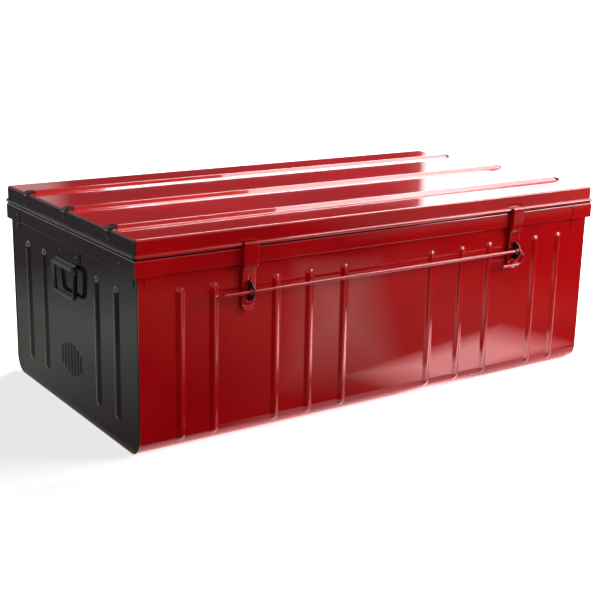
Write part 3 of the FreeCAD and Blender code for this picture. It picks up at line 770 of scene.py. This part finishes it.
class TRUNK_OT_lid(bpy.types.Operator):
    """Lid pan with folded skirts and three ribs that run over both ends"""

    bl_idname = "trunk.lid"
    bl_label = "Lid pan"

    def execute(self, context):
        s = sizes()
        top = LID[1].z - s.lid_rib_height
        x_end, y_end = LID_END, HALF_DEPTH + SKIRT_OUT
        bm = bmesh.new()
        block(bm, (-x_end, -y_end, BEAD_Z), (x_end, y_end, top))
        drop_faces(bm, lambda c, n: n.z < -0.5)
        soften(bm, edges_where(bm, lambda a, b: max(a.z, b.z) > top - MM), s.fold_radius, 4)
        half = s.lid_rib_width / 2
        centres = (-LID_RIB_Y, 0.0, LID_RIB_Y)
        cut(bm, 1, [c + side * half * t for c in centres for t in LID_RIB_LINES for side in (-1, 1)])
        cut(bm, 2, [top - s.fold_radius - d * MM for d in SKIRT_LINES])
        cut(bm, 0, [side * (x_end - d * MM) for d in LID_END_LINES for side in (-1, 1)])
        self.press(bm, centres, x_end, top)
        self.notch(bm)
        for side in SIDES.values():
            for end in (-1, 1):
                self.tab(bm, side, end, x_end, y_end, top)
        made = piece("lid_sheet", bm, "lid", ["lid_pan"], ["lid_enamel", "inside_coat"],
                     s.sheet)
        sharpen(made, 50.0)
        return {"FINISHED"}

    def press(self, bm, centres, x_end, top):
        """Raises the ribs on the top and brings them to a point on the end skirts."""
        s = sizes()
        bm.normal_update()
        moves = []
        for v in bm.verts:
            if abs(v.co.y) > HALF_DEPTH:
                continue
            down = max(top - v.co.z, 0.0)
            taper = max(1.0 - down / s.lid_rib_tail, 0.0)
            foot = s.lid_rib_width / 2 * taper
            crest = s.lid_rib_top / 2 * taper
            inboard = max(x_end - abs(v.co.x), 0.0)
            climb = min(inboard / s.lid_rib_slope, 1.0)
            height = s.lid_rib_nose + (s.lid_rib_height - s.lid_rib_nose) * climb
            d = min(abs(v.co.y - c) for c in centres)
            if taper > 0.0:
                lift = height * min(taper * TAPER_RISE, 1.0) * shoulder(d, crest, foot)
                moves.append((v, v.normal * lift))
        for v, move in moves:
            v.co += move

    def notch(self, bm):
        """Opens the skirt where a hasp's eye or a hinge barrel wraps the wire."""
        for x, half, y, top in ((HASP_X, HASP_HALF, -1, HASP[1].z + FITTING_GAP),
                                (HINGE_X, HINGE_HALF, 1, LEAF[1].z + FITTING_GAP)):
            cut(bm, 0, [side * x + end * half for side in (-1, 1) for end in (-1, 1)])
            cut(bm, 2, [top])
            drop_faces(bm, lambda c, n: abs(abs(c.x) - x) < half and c.y * y > HALF_DEPTH and c.z < top)

    def tab(self, bm, side, end, x_end, y_end, top):
        """The lap where the front or back skirt turns round the corner on to the end skirt."""
        lap_width, from_corner, over_bead, under_top = 10.8 * MM, 1.2 * MM, 3.2 * MM, 2.6 * MM
        sunk, proud, edge_round = 0.05 * MM, 1.0 * MM, 0.35 * MM
        outer = y_end - from_corner
        xs = sorted((side * (x_end + sunk), side * (x_end + proud)))
        ys = sorted((end * outer, end * (outer - lap_width)))
        made = block(bm, (xs[0], ys[0], BEAD_Z + over_bead), (xs[1], ys[1], top - under_top))
        edges = list({e for v in made for e in v.link_edges})
        soften(bm, edges, edge_round, 2)


class TRUNK_OT_bead(bpy.types.Operator):
    """Rolled bead around the lid's lower edge, open at the hasps and the hinges"""

    bl_idname = "trunk.bead"
    bl_label = "Lid bead"

    def execute(self, context):
        curve = bpy.data.curves.new("lid_bead", "CURVE")
        curve.dimensions = "3D"
        curve.bevel_depth = BEAD_RADIUS
        curve.bevel_resolution = 6
        curve.use_fill_caps = True
        for run in self.runs():
            spline = curve.splines.new("POLY")
            spline.points.add(len(run) - 1)
            for point, (px, py) in zip(spline.points, run):
                point.co = (px, py, BEAD_Z, 1.0)
        source = bpy.data.objects.new("bead_path", curve)
        bpy.context.scene.collection.objects.link(source)
        mesh = bpy.data.meshes.new_from_object(source)
        bpy.data.objects.remove(source)
        bm = bmesh.new()
        bm.from_mesh(mesh)
        bpy.data.meshes.remove(mesh)
        bmesh.ops.recalc_face_normals(bm, faces=bm.faces[:])
        made = piece("lid_bead", bm, "lid", [], ["band_enamel"])
        sharpen(made, 60.0)
        return {"FINISHED"}

    def runs(self):
        """The bead's four lengths: between the hasps, between the hinges, and round each end."""
        x, y = HALF_LENGTH + BEAD_OUT, HALF_DEPTH + BEAD_OUT
        bend = sizes().fold_radius + BEAD_RADIUS - SKIRT_IN_BEAD
        quarter = [math.radians(15.0 * i) for i in range(7)]
        runs = [[(-HASP_X + HASP_HALF, -y), (HASP_X - HASP_HALF, -y)],
                [(-HINGE_X + HINGE_HALF, y), (HINGE_X - HINGE_HALF, y)]]
        for side in (-1, 1):
            arc = []
            for end in (-1, 1):
                corner = [(side * (x - bend + bend * math.cos(a)), end * (y - bend + bend * math.sin(a)))
                          for a in quarter]
                arc += corner[::-1] if end < 0 else corner
            runs.append([(side * (HASP_X + HASP_HALF), -y)] + arc + [(side * (HINGE_X + HINGE_HALF), y)])
        return runs


# ---------------------------------------------------------------- hasps

HEAD_HEIGHT = 37.0 * MM
STRAP_STAND = 4.0 * MM
NECK_RISE = 4.0 * MM
EYE_WRAP = 192.0
FOLD_ROUND = 1.6 * MM
CHEEK_ROUND = 0.9 * MM
SLOT_HALF_WIDTH = 1.6 * MM
STAPLE_FOOT = 7.5 * MM
SLOT_ROOM = 1.8 * MM
STRAP_LINES = (-0.85, -0.6, -0.3, 0.0, 0.3, 0.6, 0.85)


class TRUNK_OT_hasps(bpy.types.Operator):
    """Hasps bent from strip: eye, flanged head, slotted strap and turned-out tongue"""

    bl_idname = "trunk.hasps"
    bl_label = "Hasps"

    def execute(self, context):
        for name in SIDES:
            self.build(name)
        return {"FINISHED"}

    def build(self, name):
        s = sizes()
        low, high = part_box("hasp_" + name)
        mid = (low.x + high.x) / 2
        half = (high.x - low.x) / 2
        strip = s.hasp_strip
        axis = Vector((0.0, -HALF_DEPTH - BEAD_OUT, BEAD_Z))
        head_low = BEAD_Z - HEAD_HEIGHT
        tongue_z = low.z + half
        bm = bmesh.new()
        line = self.centre_line(bm, axis, low, high, head_low, tongue_z)
        wide = bmesh.ops.extrude_edge_only(bm, edges=bm.edges[:])["geom"]
        bmesh.ops.translate(bm, vec=(2 * half, 0.0, 0.0), verts=verts_of(wide))
        bmesh.ops.translate(bm, vec=(-half, 0.0, 0.0), verts=bm.verts[:])
        bmesh.ops.recalc_face_normals(bm, faces=bm.faces[:])
        bm.normal_update()
        middle = (BEAD_Z + head_low) / 2
        head = [f for f in bm.faces if abs(f.calc_center_median().z - middle) < HEAD_HEIGHT / 3]
        if head[0].normal.y > 0:
            bmesh.ops.reverse_faces(bm, faces=bm.faces[:])
        folds = edges_where(bm, lambda a, b: abs(a.x - b.x) > half and
                            any(abs(a.z - place[1]) < 0.2 * MM for place in line[2:5]))
        soften(bm, folds, FOLD_ROUND, 4)
        self.slot(bm, half, tongue_z)
        self.tongue(bm, half, head_low, tongue_z)
        self.cheeks(bm, half, head_low, axis)
        bmesh.ops.remove_doubles(bm, verts=bm.verts[:], dist=0.02 * MM)
        bmesh.ops.translate(bm, vec=(mid, 0.0, 0.0), verts=bm.verts[:])
        made = piece("hasp_strap_" + name, bm, "hasp_" + name, ["hasp_" + name], ["red_enamel"],
                     strip, offset=0.0)
        sharpen(made, 50.0)

    def centre_line(self, bm, axis, low, high, head_low, tongue_z):
        """Draws the strip's side view: the eye round the wire, then the line that it gives back."""
        strip = sizes().hasp_strip
        eye = high.z - BEAD_Z - strip / 2
        head_y = low.y + strip / 2
        neck_y = -HALF_DEPTH - BAND_OUT - FITTING_GAP - strip / 2
        strap_y = -HALF_DEPTH - STRAP_STAND
        start = bm.verts.new(axis + Vector((0.0, 0.3 * eye, -0.95 * eye)))
        turned = bmesh.ops.spin(bm, geom=[start], cent=axis, axis=(1.0, 0.0, 0.0), dvec=(0.0, 0.0, 0.0),
                                angle=math.radians(EYE_WRAP), steps=12, use_merge=False,
                                use_normal_flip=False)
        end = verts_of(turned["geom_last"])[0]
        line = [(head_y + 1.2 * MM, BEAD_Z + 3.0 * MM), (head_y, BEAD_Z + 1.2 * MM),
                (head_y, head_low + 2.0 * MM), (neck_y, head_low - NECK_RISE), (strap_y, tongue_z + 8.0 * MM),
                (strap_y, tongue_z), (strap_y, low.z + 0.3 * MM)]
        for y, z in line:
            end = bmesh.ops.extrude_vert_indiv(bm, verts=[end])["verts"][0]
            end.co = (0.0, y, z)
        return line

    def slot(self, bm, half, tongue_z):
        """Cuts the slot over the staple, with edges for the strap's fold and the round tongue."""
        slot = (STAPLE[1].z - STAPLE[0].z) / 2 - STAPLE_FOOT + SLOT_ROOM
        cut(bm, 0, [half * t for t in STRAP_LINES] + [-SLOT_HALF_WIDTH, SLOT_HALF_WIDTH])
        cut(bm, 2, [ROD_Z + slot, ROD_Z - slot, tongue_z + 4.0 * MM] +
            [tongue_z - half * math.sin(math.radians(a)) for a in range(-8, 84, 8)])
        drop_faces(bm, lambda c, n: abs(c.x) < SLOT_HALF_WIDTH and abs(c.z - ROD_Z) < slot)

    def tongue(self, bm, half, head_low, tongue_z):
        """Folds the strap down its middle, rounds the tongue's end and turns its rim out."""
        s = sizes()
        fold_runs_out, dish_from = 9.0 * MM, 2.0 * MM
        for v in bm.verts:
            if v.co.z < head_low - 5.0 * MM:
                above_tongue = ramp_down(-v.co.z, -tongue_z, -tongue_z + fold_runs_out)
                v.co.y -= s.hasp_fold * max(1.0 - abs(v.co.x) / half, 0.0) * above_tongue
            if v.co.z < tongue_z - 0.1 * MM:
                fall = min((tongue_z - v.co.z) / half, 1.0)
                v.co.x *= math.sqrt(max(1.0 - fall * fall, 0.0))
            drop = max(tongue_z + dish_from - v.co.z, 0.0) / half
            v.co.y -= s.tongue_dish * drop ** 2 * (0.75 + 0.25 * (v.co.x / half) ** 2)

    def cheeks(self, bm, half, head_low, axis):
        """Folds the head's two sides back towards the band."""
        back = -HALF_DEPTH - BAND_OUT - FITTING_GAP
        sides = edges_where(bm, lambda a, b: abs(abs(a.x) - half) < 0.01 * MM and abs(a.x - b.x) < 0.01 * MM
                            and head_low + 1.0 * MM < min(a.z, b.z) and max(a.z, b.z) < BEAD_Z + 1.3 * MM
                            and max(a.y, b.y) < axis.y - 3.0 * MM)
        grown = bmesh.ops.extrude_edge_only(bm, edges=sides)["geom"]
        for v in verts_of(grown):
            v.co.y = back
        soften(bm, sides, CHEEK_ROUND, 3)


# ---------------------------------------------------------------- fittings from the frame

class TRUNK_OT_fittings(bpy.types.Operator):
    """Finishes for the rod, staples, handles, hinges, wire and rivets of the frame"""

    bl_idname = "trunk.fittings"
    bl_label = "Fittings"

    def execute(self, context):
        for name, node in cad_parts.items():
            if name.startswith("corner_rivet"):
                finish = "band_enamel"
            # Handles and end panels get the ends' painted shade
            elif name.startswith(("handle", "end_panel")):
                finish = "end_enamel"
            # Staples get their painted shade
            elif name in ("staple_left", "staple_right"):
                finish = "black_steel"
            elif name.startswith(("staple_rivet", "lid_rim_wire")):
                finish = "zinc_plate"
            else:
                finish = "red_enamel"
            for slot in node.material_slots:
                slot.material = finish_for(finish)
        return {"FINISHED"}


# ---------------------------------------------------------------- stage

def area_light(name, place, target, size, power):
    lamp = bpy.data.lights.new(name, "AREA")
    lamp.shape = "RECTANGLE"
    lamp.size, lamp.size_y = size
    lamp.energy = power
    made = bpy.data.objects.new(name, lamp)
    bpy.context.scene.collection.objects.link(made)
    made.location = place
    made.rotation_euler = (Vector(target) - Vector(place)).to_track_quat("-Z", "Y").to_euler()


def flat_piece(name, size, material):
    """A flat square of the stage, marked as no part of the object."""
    bm = bmesh.new()
    bmesh.ops.create_grid(bm, x_segments=1, y_segments=1, size=size)
    mesh = bpy.data.meshes.new(name)
    bm.to_mesh(mesh)
    bm.free()
    mesh.materials.append(material)
    made = bpy.data.objects.new(name, mesh)
    bpy.context.scene.collection.objects.link(made)
    return made


def floor_paper():
    """A pale paper floor, lit evenly."""
    finish = Finish("floor_paper")
    tone = (0.9, 0.9, 0.9, 1.0)
    return finish.done(Base_Color=tone, Roughness=0.9, Emission_Color=tone, Emission_Strength=0.8)


def panel(name, place, target, size, tone, soft=0.12, absorbs=False):
    """A studio panel for reflections, unseen itself. Its brightness is its tone, and its edges fade over a
    share of its size. One that absorbs also keeps the floor's soft light off the trunk."""
    finish = Finish(name + "_cloth")
    x, y = (abs(axis) for axis in finish.axes()[:2])
    edge = finish.ramp(0.5 - x.greater(y), (0.0, 0.0), (soft, 1.0))
    material = finish.done(Base_Color=(0.0, 0.0, 0.0, 1.0), Roughness=1.0, Specular_IOR_Level=0.0,
                           Emission_Color=(*tone, 1.0), Emission_Strength=1.0, Alpha=edge)
    made = flat_piece(name, 0.5, material)
    made.scale = (*size, 1.0)
    made.location = place
    made.rotation_euler = (Vector(target) - Vector(place)).to_track_quat("Z", "Y").to_euler()
    made.visible_camera = False
    made.visible_shadow = False
    made.visible_diffuse = absorbs
    made.visible_transmission = False
    return made


def floor_panel(name, start, end, width, tone, soft, layer, absorbs=False):
    """A panel lying just over the floor, along a line. A higher layer lies over a lower one."""
    start, end = Vector((*start, layer * MM)), Vector((*end, layer * MM))
    made = panel(name, (start + end) / 2, (start + end) / 2 + Vector((0.0, 0.0, 1.0)),
                 ((end - start).length, width), tone, soft, absorbs)
    made.rotation_euler = (0.0, 0.0, math.atan2(end.y - start.y, end.x - start.x))


class TRUNK_OT_stage(bpy.types.Operator):
    """Pale floor, soft studio light, reflection panels and the camera"""

    bl_idname = "trunk.stage"
    bl_label = "Stage"

    def execute(self, context):
        scene = context.scene
        scene.view_settings.view_transform = "Standard"
        floor = flat_piece("floor", 30.0, floor_paper())
        floor.location.z = -0.4 * MM
        world = bpy.data.worlds.new("studio")
        world.use_nodes = True
        sky = world.node_tree.nodes["Background"].inputs
        sky["Color"].default_value = (1.0, 1.0, 1.0, 1.0)
        sky["Strength"].default_value = 0.35
        scene.world = world
        area_light("key", (1.5, -0.25, 1.9), (1.5, -0.25, 0.0), (1.4, 0.9), 32.0)
        area_light("top", (1.35, 0.95, 2.15), (1.35, 0.95, 0.0), (1.7, 0.8), 95.0)
        area_light("side", (1.7, -1.3, 0.9), (0.4, -0.2, 0.2), (1.0, 0.9), 35.0)
        panel("front_top", (1.3, -1.15, 1.9), (0.0, -0.3, 0.3), (1.8, 0.8), (8.0, 7.0, 7.2), 0.2)
        panel("rear_window", (2.06, 1.14, 1.12), (-0.3, -1.2, 0.3), (1.28, 1.25), (2.45, 2.7, 2.75), 0.03)
        panel("rear_backdrop", (1.3, 3.2, 0.9), (-0.4, -0.4, 0.3), (6.5, 2.4), (0.06, 0.04, 0.045))
        panel("rear_glow", (0.35, 2.9, 0.75), (-0.4, -0.4, 0.3), (0.75, 0.9), (0.40, 0.37, 0.38))
        # After the tone come the share of its size that an edge fades over, and its layer
        floor_panel("front_dark", (-2.3, -1.485), (2.6, -1.485), 2.44, (0.02, 0.015, 0.015), 0.004, 1, True)
        floor_panel("front_haze", (-0.3, -0.8), (1.0, -0.8), 1.0, (0.24, 0.21, 0.18), 0.3, 2)
        floor_panel("front_far", (0.7, -1.66), (2.7, -1.66), 0.65, (0.42, 0.38, 0.36), 0.15, 3)
        floor_panel("front_middle", (-0.06, -0.30), (0.62, -1.26), 0.26, (1.6, 1.45, 1.3), 0.5, 4)
        floor_panel("front_low", (0.03, -0.31), (0.56, -0.42), 0.2, (6.0, 3.7, 3.7), 0.3, 5)
        floor_panel("front_foot", (-0.35, -0.28), (1.2, -0.28), 0.05, (0.9, 0.85, 0.9), 0.1, 6)
        floor_panel("right_dim", (0.2, 0.4), (2.9, 0.4), 1.36, (0.20, 0.15, 0.15), 0.05, 2)
        floor_panel("left_dark", (-1.085, -1.4), (-1.085, 3.2), 1.2, (0.10, 0.08, 0.08), 0.01, 1, True)
        floor_panel("left_light", (-0.53, -0.15), (-0.95, 0.98), 0.9, (0.31, 0.35, 0.31), 0.5, 2)
        self.camera(scene)
        return {"FINISHED"}

    def camera(self, scene):
        data = bpy.data.cameras.new("camera")
        data.sensor_width = 36.0
        data.lens = 70.70
        place = (-1.2650, -1.8295, 0.7541)
        made = bpy.data.objects.new("camera", data)
        scene.collection.objects.link(made)
        azimuth, elevation, roll = (math.radians(a) for a in (-34.429, 15.635, 1.232))
        back = Vector((math.sin(azimuth) * math.cos(elevation), -math.cos(azimuth) * math.cos(elevation),
                       math.sin(elevation)))
        right = (-back).cross(Vector((0.0, 0.0, 1.0))).normalized()
        up = right.cross(-back)
        turned_right = math.cos(roll) * right + math.sin(roll) * up
        turned_up = -math.sin(roll) * right + math.cos(roll) * up
        rotation = Matrix((turned_right, turned_up, back)).transposed()
        made.matrix_world = Matrix.Translation(place) @ rotation.to_4x4()
        scene.camera = made


class TRUNK_PT_panel(bpy.types.Panel):
    """The trunk's sizes, colours and building steps"""

    bl_idname = "TRUNK_PT_panel"
    bl_label = "Storage trunk"
    bl_space_type = "VIEW_3D"
    bl_region_type = "UI"
    bl_category = "Trunk"

    def draw(self, context):
        for group in (context.scene.trunk_sizes, context.scene.trunk_colours):
            box = self.layout.box()
            for name in group.__annotations__:
                box.prop(group, name)
        for step in STEPS:
            self.layout.operator(step.bl_idname)


STEPS = (TRUNK_OT_body, TRUNK_OT_ends, TRUNK_OT_band, TRUNK_OT_caps, TRUNK_OT_lid, TRUNK_OT_bead,
         TRUNK_OT_hasps, TRUNK_OT_fittings, TRUNK_OT_stage)
CLASSES = (TrunkSizes, TrunkColours, *STEPS, TRUNK_PT_panel)


def register():
    for cls in CLASSES:
        bpy.utils.register_class(cls)
    bpy.types.Scene.trunk_sizes = bpy.props.PointerProperty(type=TrunkSizes)
    bpy.types.Scene.trunk_colours = bpy.props.PointerProperty(type=TrunkColours)


def unregister():
    del bpy.types.Scene.trunk_colours
    del bpy.types.Scene.trunk_sizes
    for cls in reversed(CLASSES):
        bpy.utils.unregister_class(cls)


def main():
    register()
    bpy.ops.trunk.body()
    bpy.ops.trunk.ends()
    bpy.ops.trunk.band()
    bpy.ops.trunk.caps()
    bpy.ops.trunk.lid()
    bpy.ops.trunk.bead()
    bpy.ops.trunk.hasps()
    bpy.ops.trunk.fittings()
    bpy.ops.trunk.stage()


if __name__ == "__main__":
    main()
